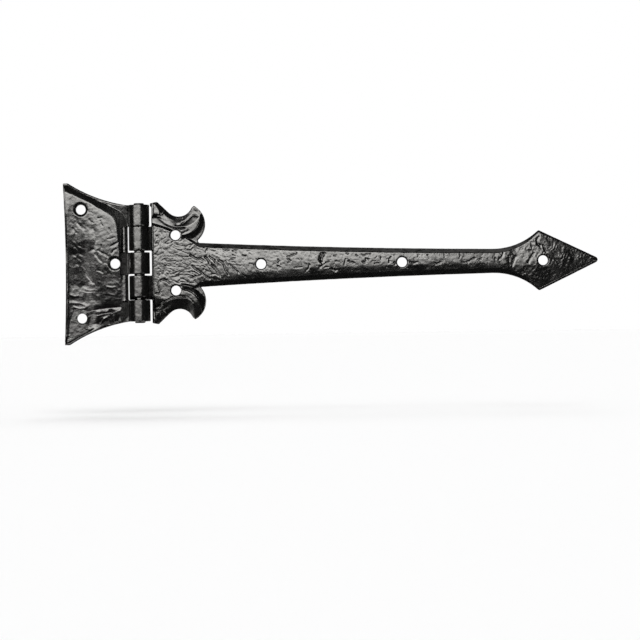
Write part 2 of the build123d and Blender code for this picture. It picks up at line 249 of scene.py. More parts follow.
HORN_MARKS = [
    # Upper horn: vein, crease under the lip, its start, dash at the tip, dimple, and the foot
    # of the lozenge
    ([(11.4, 24.4), (13.3, 23), (15.4, 21.5), (18.1, 20.4), (20.8, 19.7), (23.8, 19.8),
      (26.3, 19.6)], 0.42, 0.45),
    ([(24.4, 22.3), (26.1, 23.1), (28, 24.7), (30.2, 26.7), (31.8, 27.1), (33.2, 26.3)],
     0.55, 0.35),
    ([(21.7, 21.4), (23.3, 21.7), (25, 22.5)], 0.8, 0.25), ([(31.3, 30.5), (33, 29.7)], 0.4, 0.3),
    ([(24.9, 16.5), (26.2, 17.3), (27.6, 17.7)], 0.9, 0.22),
    ([(9.5, 25.3), (12.2, 25.5)], 0.5, 0.6),
    # Lower horn: arris along the vein and its shadow line, two grooves right of the screw, the
    # ring left of it, and the marks on the root block
    ([(13.7, -21.4), (16.2, -20.6), (18.9, -19.7), (21.7, -19.3), (24.4, -19.5), (26.5, -20.2),
      (28.7, -21.9), (30.3, -23.5)], 0.6, -0.2),
    ([(17.3, -19.8), (19.5, -19), (21.7, -18.7), (24.4, -18.8), (26.6, -19.5), (28.7, -21.1),
      (31.1, -23.3)], 0.5, 0.16),
    ([(23.9, -12.8), (27.2, -13.3), (29.9, -14.1), (32.6, -15.7), (34.5, -17.6)], 0.6, 0.6),
    ([(25.5, -15.4), (27.4, -15.9), (29.6, -17), (31.7, -18.7), (33.3, -20.9)], 0.45, 0.4),
    ([(16.9, -11.7), (15.3, -10.1), (13.1, -9.6), (11.2, -10.2), (10.5, -12.1), (10.7, -14.6),
      (11.6, -16.8)], 0.45, 0.4),
    ([(8.1, -17.4), (9.4, -17.3), (11.1, -17.4)], 0.4, 0.5),
    ([(10.1, -27.1), (11.5, -27), (13.1, -26.3), (15, -25.2)], 0.45, 0.3),
]


class CastingSettings(bpy.types.PropertyGroup):
    """Sizes of the sand-cast surface."""

    voxel: FloatProperty(
        name="Voxel", description="Size of the voxels that a casting is remeshed with",
        default=0.27 * MM, min=0.1 * MM, precision=5, unit="LENGTH")
    rounding: IntProperty(
        name="Edge rounding", description="Smoothing passes that round the casting's edges",
        default=5, min=0)
    streak: FloatProperty(
        name="Streak height", description="Height of the streaks on the plate and arrowhead",
        default=0.16 * MM, precision=5, unit="LENGTH")
    wrinkle: FloatProperty(
        name="Wrinkle depth", description="Depth of the wrinkles on the strap",
        default=0.16 * MM, precision=5, unit="LENGTH")
    swell: FloatProperty(
        name="Swell", description="Height of the broad unevenness of the rough fields",
        default=0.09 * MM, precision=5, unit="LENGTH")
    hammer: FloatProperty(
        name="Hammer marks", description="Height of the small hammered unevenness",
        default=0.022 * MM, precision=5, unit="LENGTH")
    grit: FloatProperty(
        name="Grit", description="Height of the fine unevenness left by the sand",
        default=0.012 * MM, precision=5, unit="LENGTH")
    pit: FloatProperty(
        name="Pit depth", description="Depth of the small pits left by the sand",
        default=0.09 * MM, precision=5, unit="LENGTH")
    skin: FloatProperty(
        name="Skin roughness", description="Unevenness of the smooth parts, such as the knuckles",
        default=0.045 * MM, precision=5, unit="LENGTH")
    triangles: IntProperty(
        name="Triangle limit", description="Most triangles that a finished casting has",
        default=190000, min=1000)


class PaintSettings(bpy.types.PropertyGroup):
    """Colours and gloss of the black paint."""

    colour: FloatVectorProperty(
        name="Paint colour", description="Colour of the black paint",
        default=(0.0028, 0.0028, 0.0027), size=3, min=0, max=1, subtype="COLOR")
    # the paler colour below is a painted highlight on the crests of the castings
    crest_highlight_colour: FloatVectorProperty(
        name="Crest highlight colour", description="Paler colour painted on crests as a highlight",
        default=(0.009, 0.0088, 0.008), size=3, min=0, max=1, subtype="COLOR")
    gloss_roughness: FloatProperty(
        name="Roughness", description="Mean roughness of the paint",
        default=0.2, min=0, max=1, subtype="FACTOR")
    grain: FloatProperty(
        name="Grain", description="Height of the finest casting grain, finer than the mesh",
        default=0.02 * MM, precision=5, unit="LENGTH")


class StudioSettings(bpy.types.PropertyGroup):
    """Floor, lights and camera."""

    floor_drop: FloatProperty(
        name="Floor drop", description="How far the floor lies below the pin's middle",
        default=0.086, unit="LENGTH")
    floor_radius: FloatProperty(
        name="Floor radius", description="Radius of the round floor", default=9.0, unit="LENGTH")
    floor_colour: FloatVectorProperty(
        name="Floor colour", description="Colour of the pale floor",
        default=(0.9, 0.9, 0.9), size=3, min=0, max=1, subtype="COLOR")
    floor_light: FloatProperty(
        name="Floor light", description="Strength of the lamps that light the floor",
        default=1.0, min=0)
    floor_fill: FloatProperty(
        name="Floor fill", description="Strength of the even light on the floor",
        default=0.3, min=0)
    key_light: FloatProperty(
        name="Key light", description="Brightness of the soft box in front", default=14.0, min=0)
    rear_light: FloatProperty(
        name="Rear light", description="Brightness of the soft boxes behind", default=3.5, min=0)
    low_light: FloatProperty(
        name="Low lights", description="Brightness of the two low soft boxes at the sides",
        default=6.0, min=0)
    overhead_light: FloatProperty(
        name="Overhead light", description="Brightness of the soft box overhead",
        default=1.0, min=0)
    room_light: FloatProperty(
        name="Room light", description="Strength of the room in the paint's reflections",
        default=0.05, min=0)
    camera_distance: FloatProperty(
        name="Camera distance", description="From the camera to the hinge",
        default=1.521, unit="LENGTH")
    lens: FloatProperty(
        name="Lens", description="Focal length of the camera, in millimetres", default=150.0)
    roll: FloatProperty(
        name="Roll", description="How far the camera leans",
        default=math.radians(0.8), subtype="ANGLE")


def evaluated_mesh(piece):
    """The piece's mesh with its modifiers worked in."""
    graph = bpy.context.evaluated_depsgraph_get()
    return bpy.data.meshes.new_from_object(piece.evaluated_get(graph))


def apply_modifiers(piece):
    """Works the piece's modifiers into its mesh and takes them off."""
    solid = evaluated_mesh(piece)
    rough = piece.data
    piece.modifiers.clear()
    piece.data = solid
    bpy.data.meshes.remove(rough)


def casting(node, name, settings):
    """A fine, even copy of a CAD node with rounded edges, ready for its relief."""
    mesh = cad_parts[node].data.copy()
    work = bmesh.new()
    work.from_mesh(mesh)
    bmesh.ops.remove_doubles(work, verts=work.verts, dist=MERGE_DISTANCE)
    work.to_mesh(mesh)
    work.free()
    mesh.name = name
    mesh.materials.clear()
    piece = bpy.data.objects.new(name, mesh)
    bpy.context.scene.collection.objects.link(piece)
    remesh = piece.modifiers.new("voxels", "REMESH")
    remesh.mode = "VOXEL"
    remesh.voxel_size = settings.voxel * 1
    rounding = piece.modifiers.new("rounding", "SMOOTH")
    rounding.factor = 0.5
    rounding.iterations = settings.rounding
    apply_modifiers(piece)
    return piece


def vertex_arrays(mesh):
    """Places in millimetres and normals of all vertices."""
    count = len(mesh.vertices)
    places = np.empty(count * 3)
    normals = np.empty(count * 3, dtype=np.float32)
    mesh.vertices.foreach_get("co", places)
    mesh.vertex_normals.foreach_get("vector", normals)
    return places.reshape(-1, 3) / MM, normals.reshape(-1, 3)


def smoothstep(low, high, values):
    """0 below low, 1 above high, and smooth between them."""
    share = np.clip((values - low) / (high - low), 0, 1)
    return share * share * (3 - 2 * share)


def stroke_depth(x, z, points, half_width, depth):
    """Depth of one groove along its points. A negative depth is a ridge."""
    nearest = np.full(x.shape, np.inf)
    for (x0, z0), (x1, z1) in zip(points, points[1:]):
        run = np.array([x1 - x0, z1 - z0])
        along = np.clip(((x - x0) * run[0] + (z - z0) * run[1]) / run.dot(run), 0, 1)
        nearest = np.minimum(nearest, np.hypot(x - x0 - along * run[0], z - z0 - along * run[1]))
    return depth * np.clip(1 - nearest / (2 * half_width), 0, 1) ** 2


def marks_depth(x, z, marks):
    """Depth of all marks of a list."""
    total = np.zeros(x.shape)
    for points, half_width, depth in marks:
        low, high = np.min(points, axis=0), np.max(points, axis=0)
        reach = 2 * half_width
        near = ((x > low[0] - reach) & (x < high[0] + reach)
                & (z > low[1] - reach) & (z < high[1] + reach))
        total[near] += stroke_depth(x[near], z[near], points, half_width, depth)
    return total


def turned(x, z, angle):
    """Distances along and across a direction, given in degrees."""
    cos, sin = math.cos(math.radians(angle)), math.sin(math.radians(angle))
    return x * cos + z * sin, z * cos - x * sin


def wrinkles(x, z, angle, length, width, seed):
    """Creases that run at an angle: 0 on their crests and -1 in their deepest lines."""
    along, across = turned(x, z, angle)
    along, across = along / length, across / width
    out = np.empty(x.shape)
    for i in range(len(x)):
        bend = noise.noise((along[i] * 0.7, across[i] * 0.35, seed)) * 0.9
        value = noise.noise((along[i], across[i] + bend, seed + 7.3))
        out[i] = -max(0.0, 1 - abs(value) * 4.0) ** 1.6
    return out


def steps(x, z, angle, length, width, seed):
    """Uneven steps across a direction, each with a long side that looks down and a short one up."""
    along, across = turned(x, z, angle)
    out = np.empty(x.shape)
    for i, (a, b) in enumerate(zip(along / length, across / width)):
        bend = 1.4 * noise.noise((a, b * 0.7, seed))
        phase = (b + bend + 0.4 * noise.noise((a * 3, b * 2, seed + 3))) % 1
        size = max(0.0, 0.35 + 1.1 * noise.noise((a * 1.3, b * 0.9, seed + 9)))
        share = phase / STEP_TURN if phase < STEP_TURN else (1 - phase) / (1 - STEP_TURN)
        out[i] = size * share * share * (3 - 2 * share)
    return out


def swell(x, z, size, seed):
    """Broad soft unevenness between about -1 and 1."""
    return np.array([noise.fractal((a / size, b / size, seed), 0.9, 2.0, 3) for a, b in zip(x, z)])


def pits(x, z, size, seed):
    """Small round pits: -1 at the bottom of each and 0 between them."""
    out = np.empty(x.shape)
    for i in range(len(x)):
        warp = noise.noise((x[i] / size, z[i] / size, seed))
        near = noise.voronoi(((x[i] + warp) / size, (z[i] - warp) / size, seed))[0][0]
        out[i] = -max(0.0, 1 - near * 2.6) ** 0.8
    return out


def blended(x, z, runs, where, pattern):
    """Runs of a pattern that take over from one another along one direction."""
    total = np.zeros(x.shape)
    weight = np.full(x.shape, 1e-9)
    for index, (middle, angle, length, width, strength) in enumerate(runs):
        share = np.exp(-((where - middle) / RUN_SPREAD) ** 2)
        close = share > 0.02
        if close.any() and strength > 0:
            total[close] += share[close] * strength * pattern(
                x[close], z[close], angle, length, width, 10.0 + index)
        weight += share
    return total / weight


def soft_ramp(values, softness):
    """0 for low values and a slope of one for high ones, with a soft turn at zero."""
    return (values + np.sqrt(values * values + softness * softness)) / 2


def keep_in_box(piece, node):
    """Draws every vertex of a piece that lies outside its node's box onto the box."""
    low, high = (np.array(corner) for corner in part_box(node))
    places = np.empty(len(piece.data.vertices) * 3)
    piece.data.vertices.foreach_get("co", places)
    places = np.clip(places.reshape(-1, 3), low + BOX_MARGIN, high - BOX_MARGIN)
    piece.data.vertices.foreach_set("co", places.ravel())
    piece.data.update()


def press_front(piece, node, relief, places):
    """Moves the front of a casting along the depth by the relief, and keeps it in its box."""
    places[:, 1] -= relief
    piece.data.vertices.foreach_set("co", (places * MM).ravel())
    piece.data.update()
    keep_in_box(piece, node)


def true_barrel(places, normals):
    """Draws the vertices of the knuckles' round outsides onto the barrel's circle."""
    across = places[:, 0]
    depth = places[:, 1] + BARREL_RADIUS
    radius = np.hypot(across, depth)
    outward = (normals[:, 0] * across + normals[:, 1] * depth) / np.maximum(radius, 0.1)
    on_barrel = (np.abs(radius - BARREL_RADIUS) < 0.25) & (outward > 0.8)
    share = BARREL_RADIUS / radius[on_barrel]
    places[on_barrel, 0] *= share
    places[on_barrel, 1] = depth[on_barrel] * share - BARREL_RADIUS


def rough_skin(places, normals, amount, seed):
    """Slight unevenness along the normals; on the flat back it only goes inwards."""
    free = smoothstep(0.2, 0.8, -places[:, 1])
    for i in range(len(places)):
        point = Vector(places[i]) / 2.2
        lift = noise.fractal(point + Vector((seed, 0, 0)), 0.8, 2.0, 3) * amount
        places[i] += normals[i] * lift * free[i]
        places[i][1] -= (amount + lift) * (1 - free[i])


def flare_distance(x, z):
    """Distance from the curved upper or lower edge of the jamb plate, positive on the plate."""
    return np.hypot(x - FLARE_CENTRE[0], np.abs(z) - FLARE_CENTRE[1]) - FLARE_RADIUS


def on_webs(z):
    """True at the heights of the webs that carry the plate's knuckles."""
    away = np.abs(z)
    return (away < MIDDLE_WEB) | ((away > OUTER_WEBS[0]) & (away < OUTER_WEBS[1]))


def upper_slope(x, z):
    """Height of the slope round the field's upper right corner, down the slot and the web."""
    flare_side = CORNER_LINE[0] * x + CORNER_LINE[1] * z - CORNER_LINE[2]
    slot_side = x - PLATE_FIELD_SIDE
    beyond = soft_ramp(flare_side + soft_ramp(slot_side - flare_side, CORNER_ROUNDING), 0.4)
    webs = on_webs(z)
    slope = PLATE_FIELD_HEIGHT - SLOT_FALL * beyond
    slope -= UPPER_WEB_FALL * soft_ramp(x - UPPER_WEB_START, 0.5) * webs
    rim_low = CORNER_HEIGHT + (RIM_HEIGHT - CORNER_HEIGHT) * smoothstep(18, 24, -z)
    web_low = (WEB_HEIGHT + UPPER_WEB_LEAN[0] * np.clip(-BARREL_RADIUS - x, 0, 4)
               + UPPER_WEB_LEAN[1] * np.clip(z - OUTER_WEBS[0], 0, 12))
    return np.maximum(slope, np.where(webs, web_low, rim_low))


def middle_slope(x, z):
    """Height of the middle web, which falls from the screw's rim to its knuckle."""
    slope = RIM_HEIGHT - MIDDLE_WEB_FALL * soft_ramp(x - MIDDLE_WEB_START, 0.3)
    return slope + 2.0 * soft_ramp(-11 - x, 0.2) + CLEAR * (np.abs(z) > MIDDLE_WEB)


def lower_slope(x, z):
    """Height of the lower web, which starts farther left the lower it is."""
    below = -OUTER_WEBS[0] - z
    left_side = -12.8 - 0.2 * below
    slope = LOWER_WEB_HEIGHT - LOWER_WEB_FALL * soft_ramp(x - LOWER_WEB_START, 0.3)
    slope += 0.5 * soft_ramp(left_side - x, 1.0) - LOWER_WEB_LEAN * below
    return slope + CLEAR * smoothstep(-21.7, -20.9, z)


def lower_corner_slope(x, z):
    """Height of the rim between the lower flare and the lower knuckle."""
    slope = RIM_HEIGHT - LOWER_CORNER_FALL * soft_ramp(x - LOWER_CORNER_START, 0.5)
    return slope + CLEAR / 2 * (smoothstep(-29, -25, z) + 1 - smoothstep(-17, -13.5, x))


def plate_slope(x, z, depth):
    """What the slopes beside the knuckles and the slots take off the plate's front."""
    sloped = np.minimum(np.minimum(upper_slope(x, z), middle_slope(x, z)),
                        np.minimum(lower_slope(x, z), lower_corner_slope(x, z)))
    right_side = np.where(on_webs(z), WEB_SLOPE_END, SLOT_SLOPE_END)
    off_rim = np.maximum(smoothstep(1.1, 1.7, flare_distance(x, z)), smoothstep(-13, -11.5, x))
    return (np.minimum(np.maximum(sloped, WEB_HEIGHT) - depth, 0) * off_rim
            * (1 - smoothstep(right_side - 0.4, right_side + 0.4, x)) * (depth < BARREL_FOOT))


def plate_filling(x, z, depth):
    """The field runs on over the bevel of the lower flare, down to a narrow step at the rim."""
    inside = flare_distance(x, z)
    filled = np.minimum(PLATE_FIELD_HEIGHT - 0.2, RIM_HEIGHT + 2.5 * (inside - 1.5))
    lower_left = (z < 0) * (1 - smoothstep(-32, -26, x)) * smoothstep(-42.9, -42.3, x)
    return np.maximum(filled - depth, 0) * lower_left * (inside > 1.5) * (depth > 2)


def plate_edges(x, z, depth):
    """How far the flat rims beside the slots and along the flares are worn down."""
    inside = flare_distance(x, z)
    on_flat = (1 - smoothstep(RIM_HEIGHT + 0.1, RIM_HEIGHT + 0.5, depth)) * (x > SLOT_RIM)
    slot_rim = SLOT_WEAR * soft_ramp(x - SLOT_WEAR_START, 0.3) * on_flat * (1 - on_webs(z))
    flare_rim = (FLARE_WEAR * soft_ramp(0.5 - inside, 0.2) * (inside < 1.6)
                 * smoothstep(6, 7.5, -x))
    low_flare = (LOW_FLARE_WEAR * soft_ramp(5.5 - inside, 0.4) * (z < 0)
                 * smoothstep(-32, -25, x) * smoothstep(11, 13, -x))
    return -np.minimum(slot_rim + flare_rim + low_flare, np.maximum(depth - CORNER_HEIGHT, 0))


def plate_dish(x, z):
    """Broad shape of the plate's field: hollow on the left, and sinking in uneven terraces."""
    hollow = smoothstep(-34, -23, x) + 0.21 * soft_ramp(-38.4 - x, 1.2) - 1
    fall = 0.05 * (np.clip(z, 6, 34) - 20) * (1 - smoothstep(-33, -25, x))
    sinking = 0.055 * (soft_ramp(12 - z, 4.0) - soft_ramp(-34 - z, 3.0))
    bent = z + 0.9 * np.sin(0.5 * x) + 0.5 * np.sin(1.3 * x + 2)
    left = np.interp(bent, (-25, -21.5, -17, -12, 14), (-0.45, -0.65, -0.55, -0.85, 0))
    right = np.interp(bent, (-30.5, -26.5, 0), (0, -0.6, 0))
    return hollow + fall - sinking + right + (left - right) * (1 - smoothstep(-30, -20, x))


def plate_field(x, z, depth, settings):
    """Height that the hammered field and its broad shape add to the plate's front."""
    field = smoothstep(3.0, 4.0, depth) * smoothstep(10.2, 11.2, -x)
    spots = field > 0
    height = np.zeros(x.shape)
    a, b = x[spots], z[spots]
    calm = smoothstep(-31, -25, a) * smoothstep(0, 12, b)
    band = 1 - smoothstep(-40.6, -37.6, a)
    rough = (1 - 0.9 * calm) * (1 - 0.9 * band)
    height[spots] = (settings.streak / MM * rough * blended(a, b, PLATE_STEPS, b, steps)
                     + settings.swell / MM * (1 - 0.6 * calm) * swell(a, b, size=8.0, seed=2.4)
                     + settings.hammer / MM * (1 - 0.7 * band) * swell(a, b, size=1.9, seed=5.1)
                     + settings.grit / MM * (1 - 0.7 * band) * swell(a, b, size=0.8, seed=6.4)
                     - marks_depth(a, b, PLATE_MARKS))
    height *= field
    raised = np.clip((depth - RIM_HEIGHT) / (PLATE_FIELD_HEIGHT - RIM_HEIGHT), 0, 1)
    return height + plate_dish(x, z) * raised * (x < -9.4)


def plate_relief(x, z, depth, settings):
    """Height added to the jamb plate's front: its field, cut off by its slopes and worn rims."""
    relief = plate_filling(x, z, depth)
    relief += plate_field(x, z, depth + relief, settings)
    relief += plate_slope(x, z, depth + relief)
    return relief + plate_edges(x, z, depth)


def crown(x, z):
    """How far the strap's front falls away from its middle, and the arrowhead from its ridges."""
    up = z + STRAP_DROP
    flat = np.interp(x, (34, 62, 100, 150, 190, 216), (7.0, 5.0, 2.8, 1.6, 1.4, 2.5))
    steepness = np.interp(x, (34, 100, 201, 216), (0.12, 0.14, 0.14, 0.09))
    strap = 0.045 * soft_ramp(up - 1.5, 0.8) + steepness * soft_ramp(-up - flat, 0.8)
    head = 0.05 * soft_ramp(x - 229 - 0.25 * (up - 6), 1.0)
    head += 0.03 * soft_ramp(227 - x, 1.0) * smoothstep(205, 215, x)
    return strap * smoothstep(30, 40, x) + head * smoothstep(205, 215, x)


def leaf_shoulder(x, z):
    """The raised shoulder of the leaf beside the root block, above the round bay."""
    across, up = x - BAY_CENTRE[0], np.abs(z) - BAY_CENTRE[1]
    angle = np.degrees(np.arctan2(up, across))
    share = (1 - smoothstep(-116, -92, angle)) * (angle > -150)
    rise = np.interp(np.hypot(across, up), (BAY_RADIUS, BAY_RADIUS + 2.4, LEAF_CREST),
                     (0, SHOULDER_RISE, 0))
    return rise * share


def lower_lobe(x, z):
    """Depth of the block below the lower horn: a worn left edge, a step down, a rounded foot."""
    left = LOBE_WEAR * soft_ramp(8.8 - x, 0.2)
    foot = 0.25 * soft_ramp(0.7 * x - 0.714 * z - 27.8, 0.3)
    step = 0.2 * np.clip(-20.4 - z, 0, 3.3)
    return (left + foot + step) * smoothstep(19, 21, -z) * (1 - smoothstep(14, 18, x))


def screw_rims(x, z):
    """Depth of the worn rims of the strap's screw holes."""
    return sum(SCREW_WEAR * soft_ramp(SCREW_RADIUS + 0.5 - np.hypot(x - across, z - up), 0.1)
               for across, up in STRAP_SCREWS)


def strap_roughness(x, z, depth):
    """Share of the cast roughness: whole on the strap's field and next to none on the leaves."""
    bay = np.hypot(x - BAY_CENTRE[0], np.abs(z) - BAY_CENTRE[1])
    leaf = np.maximum(smoothstep(-0.3, 0.3, LEAF_CREST + LOWER_LEAF_EXTRA * (z < 0) - bay),
                      smoothstep(22.8, 23.6, x) * smoothstep(12.5, 14.5, np.abs(z)))
    field = (smoothstep(2.3, 3.5, depth) * smoothstep(7.6, 9.1, x)
             * (1 - smoothstep(4.3, 4.9, depth) * (1 - smoothstep(10, 13, x))))
    low_screw = (1 - smoothstep(17, 20, x)) * smoothstep(9.5, 12, -z)
    calm = (1 - 0.6 * low_screw) * (1 - 0.9 * low_screw * (z < -19.5))
    return field * (1 - 0.94 * leaf) * calm


def strap_relief(x, z, depth, settings):
    """Height added to the strap's front."""
    rough = strap_roughness(x, z, depth)
    spots = rough > 0.01
    a, b = x[spots], z[spots]
    tail = smoothstep(80, 96, a)
    head = smoothstep(196, 208, a)
    height = np.zeros(x.shape)
    height[spots] = (settings.wrinkle / MM * (1 - tail)
                     * blended(a, b, STRAP_WRINKLES, a, wrinkles)
                     + settings.streak / MM * head * blended(a, b, HEAD_STEPS, a, steps)
                     + settings.swell / MM * swell(a, b, size=7.0, seed=8.8)
                     + settings.hammer / MM * swell(a, b, size=1.9, seed=1.7)
                     + settings.grit / MM * swell(a, b, size=0.9, seed=3.4)
                     + settings.pit / MM * pits(a, b, size=1.5, seed=6.0)
                     - marks_depth(a, b, STRAP_MARKS))
    leaf = smoothstep(2.4, 3.2, depth) * smoothstep(8.0, 9.5, x)
    carving = (leaf_shoulder(x, z) - marks_depth(x, z, HORN_MARKS)) * leaf
    wear_and_highlight = (screw_rims(x, z) + lower_lobe(x, z)) * (depth > RIM_HEIGHT)
    return height * rough + carving - wear_and_highlight - crown(x, z) * np.clip((depth - 1.4) / 2.4, 0, 1)


def thin_out(piece, limit):
    """Brings a casting under its triangle limit, flattest places first."""
    piece.data.calc_loop_triangles()
    count = len(piece.data.loop_triangles)
    if count > limit:
        thinner = piece.modifiers.new("thinner", "DECIMATE")
        thinner.ratio = limit / count
        apply_modifiers(piece)


def finish_piece(piece, body, node, material):
    """Keeps a piece in its box, paints and smooths it, ties it to its body and hides its node's CAD
    part.
    """
    keep_in_box(piece, node)
    piece.data.materials.append(material)
    piece.data.shade_smooth()
    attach(piece, body)
    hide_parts(node)


def group_socket(group, name, kind, way, default=None):
    """A named input or output of a node group."""
    socket = group.interface.new_socket(name=name, in_out=way, socket_type=kind)
    if default is not None:
        socket.default_value = default


def cast_grain_group():
    """Node group: the grain of a sand casting under paint, from Object coordinates."""
    found = bpy.data.node_groups.get("cast_grain")
    if found:
        return found
    group = bpy.data.node_groups.new("cast_grain", "ShaderNodeTree")
    group_socket(group, "Fine size", "NodeSocketFloat", "INPUT", FINE_GRAIN)
    group_socket(group, "Coarse size", "NodeSocketFloat", "INPUT", COARSE_GRAIN)
    group_socket(group, "Height", "NodeSocketFloat", "OUTPUT")
    group_socket(group, "Patches", "NodeSocketFloat", "OUTPUT")
    nodes, links = group.nodes, group.links
    entry = nodes.new("NodeGroupInput")
    leave = nodes.new("NodeGroupOutput")
    place = nodes.new("ShaderNodeTexCoord")
    fine = nodes.new("ShaderNodeTexNoise")
    fine.inputs["Detail"].default_value = 3.0
    coarse = nodes.new("ShaderNodeTexVoronoi")
    coarse.feature = "SMOOTH_F1"
    patches = nodes.new("ShaderNodeTexNoise")
    patches.inputs["Scale"].default_value = PATCHES
    patches.inputs["Detail"].default_value = 4.0
    for texture in (fine, coarse, patches):
        links.new(place.outputs["Object"], texture.inputs["Vector"])
    links.new(entry.outputs["Fine size"], fine.inputs["Scale"])
    links.new(entry.outputs["Coarse size"], coarse.inputs["Scale"])
    both = nodes.new("ShaderNodeMath")
    both.operation = "MULTIPLY_ADD"
    both.inputs[1].default_value = COARSE_SHARE
    links.new(coarse.outputs["Distance"], both.inputs[0])
    links.new(fine.outputs["Fac"], both.inputs[2])
    links.new(both.outputs["Value"], leave.inputs["Height"])
    links.new(patches.outputs["Fac"], leave.inputs["Patches"])
    return group


def painted_highlight_group():
    """Node group: a mask of edges and crests that get a painted highlight, broken up by patches."""
    found = bpy.data.node_groups.get("painted_highlight")
    if found:
        return found
    group = bpy.data.node_groups.new("painted_highlight", "ShaderNodeTree")
    group_socket(group, "Patches", "NodeSocketFloat", "INPUT", 0.5)
    group_socket(group, "Amount", "NodeSocketFloat", "INPUT", 0.5)
    group_socket(group, "Mask", "NodeSocketFloat", "OUTPUT")
    nodes, links = group.nodes, group.links
    entry = nodes.new("NodeGroupInput")
    leave = nodes.new("NodeGroupOutput")
    shape = nodes.new("ShaderNodeNewGeometry")
    crest = nodes.new("ShaderNodeMapRange")
    crest.inputs["From Min"].default_value = CREST[0]
    crest.inputs["From Max"].default_value = CREST[1]
    links.new(shape.outputs["Pointiness"], crest.inputs["Value"])
    broken = nodes.new("ShaderNodeMath")
    broken.operation = "MULTIPLY"
    links.new(crest.outputs["Result"], broken.inputs[0])
    links.new(entry.outputs["Patches"], broken.inputs[1])
    mask = nodes.new("ShaderNodeMath")
    mask.operation = "MULTIPLY"
    links.new(broken.outputs["Value"], mask.inputs[0])
    links.new(entry.outputs["Amount"], mask.inputs[1])
    links.new(mask.outputs["Value"], leave.inputs["Mask"])
    return group


def paint_material(name, paint, grain_share, highlight_amount):
    """Semi-gloss black paint over cast iron, with a paler colour painted on its crests as a
    highlight.
    """
    found = bpy.data.materials.get(name)
    if found:
        return found
    material = bpy.data.materials.new(name)
    material.use_nodes = True
    nodes, links = material.node_tree.nodes, material.node_tree.links
    shader = nodes["Principled BSDF"]
    shader.inputs["Coat Weight"].default_value = 0.0
    shader.inputs["Specular IOR Level"].default_value = 0.5
    grain = nodes.new("ShaderNodeGroup")
    grain.node_tree = cast_grain_group()
    # painted highlight: the casting's crests get a paler paint colour, broken up by patches
    wear_and_highlight = nodes.new("ShaderNodeGroup")
    wear_and_highlight.node_tree = painted_highlight_group()
    wear_and_highlight.inputs["Amount"].default_value = highlight_amount
    links.new(grain.outputs["Patches"], wear_and_highlight.inputs["Patches"])

    # the mix lays the paler crest colour, a painted highlight, over the black paint
    colour = nodes.new("ShaderNodeMix")
    colour.data_type = "RGBA"
    colour.inputs["A"].default_value = (*paint.colour, 1)
    colour.inputs["B"].default_value = (*paint.crest_highlight_colour, 1)
    links.new(wear_and_highlight.outputs["Mask"], colour.inputs["Factor"])
    links.new(colour.outputs["Result"], shader.inputs["Base Color"])

    gloss = nodes.new("ShaderNodeMapRange")
    gloss.inputs["From Min"].default_value = 0.3
    gloss.inputs["From Max"].default_value = 0.7
    gloss.inputs["To Min"].default_value = paint.gloss_roughness + GLOSS_SPREAD[0]
    gloss.inputs["To Max"].default_value = paint.gloss_roughness + GLOSS_SPREAD[1]
    links.new(grain.outputs["Patches"], gloss.inputs["Value"])
    links.new(gloss.outputs["Result"], shader.inputs["Roughness"])

    bump = nodes.new("ShaderNodeBump")
    bump.inputs["Strength"].default_value = 1.0
    bump.inputs["Distance"].default_value = paint.grain * grain_share
    links.new(grain.outputs["Height"], bump.inputs["Height"])
    links.new(bump.outputs["Normal"], shader.inputs["Normal"])
    return material


def cast_piece(scene, node, body, relief, seed):
    """Casts a node with its relief, paints it and ties it to its body."""
    settings = scene.hinge_casting
    piece = casting(node, "cast_" + node, settings)
    places, normals = vertex_arrays(piece.data)
    true_barrel(places, normals)
    x, z, depth = places[:, 0].copy(), places[:, 2].copy(), -places[:, 1]
    front = smoothstep(0.2, 0.7, -normals[:, 1])  # 0 where a surface turns away from the front
    height = relief(x, z, depth, settings) * front
    rough_skin(places, normals, settings.skin / MM, seed)
    press_front(piece, node, height, places)
    thin_out(piece, settings.triangles)
    material = paint_material("black_paint_rough", scene.hinge_paint, grain_share=1.0, highlight_amount=0.6)
    finish_piece(piece, body, node, material)


class HINGE_OT_jamb_plate(bpy.types.Operator):
    """Cast the flared jamb plate with its hammered field"""

    bl_idname = "hinge.jamb_plate"
    bl_label = "Jamb plate"

    def execute(self, context):
        cast_piece(context.scene, "jamb_plate", "jamb", plate_relief, seed=3.0)
        return {"FINISHED"}


class HINGE_OT_strap(bpy.types.Operator):
    """Cast the strap with its horns, its wrinkled field and its arrowhead"""

    bl_idname = "hinge.strap"
    bl_label = "Strap"

    def execute(self, context):
        cast_piece(context.scene, "strap", "door", strap_relief, seed=9.0)
        return {"FINISHED"}


class HINGE_OT_pin(bpy.types.Operator):
    """Turn the hinge pin with its peened ends"""

    bl_idname = "hinge.pin"
    bl_label = "Hinge pin"

    def execute(self, context):
        low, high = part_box("pin")
        radius = (high[0] - low[0]) / 2
        middle = (Vector(low) + Vector(high)) / 2
        work = bmesh.new()
        bmesh.ops.create_cone(work, cap_ends=True, segments=PIN_SIDES, radius1=radius,
                              radius2=radius, depth=high[2] - low[2])
        rims = [edge for edge in work.edges
                if abs(edge.verts[0].co.z - edge.verts[1].co.z) < 0.1 * MM]
        bmesh.ops.bevel(work, geom=rims, offset=PIN_ROUNDING, affect="EDGES", segments=5,
                        profile=0.5, material=-1)
        bmesh.ops.translate(work, verts=work.verts, vec=middle)
        mesh = bpy.data.meshes.new("turned_pin")
        work.to_mesh(mesh)
        work.free()
        piece = bpy.data.objects.new("turned_pin", mesh)
        context.scene.collection.objects.link(piece)
        material = paint_material("black_paint_smooth", context.scene.hinge_paint,
                                  grain_share=0.3, highlight_amount=0.8)
        finish_piece(piece, "jamb", "pin", material)
        return {"FINISHED"}


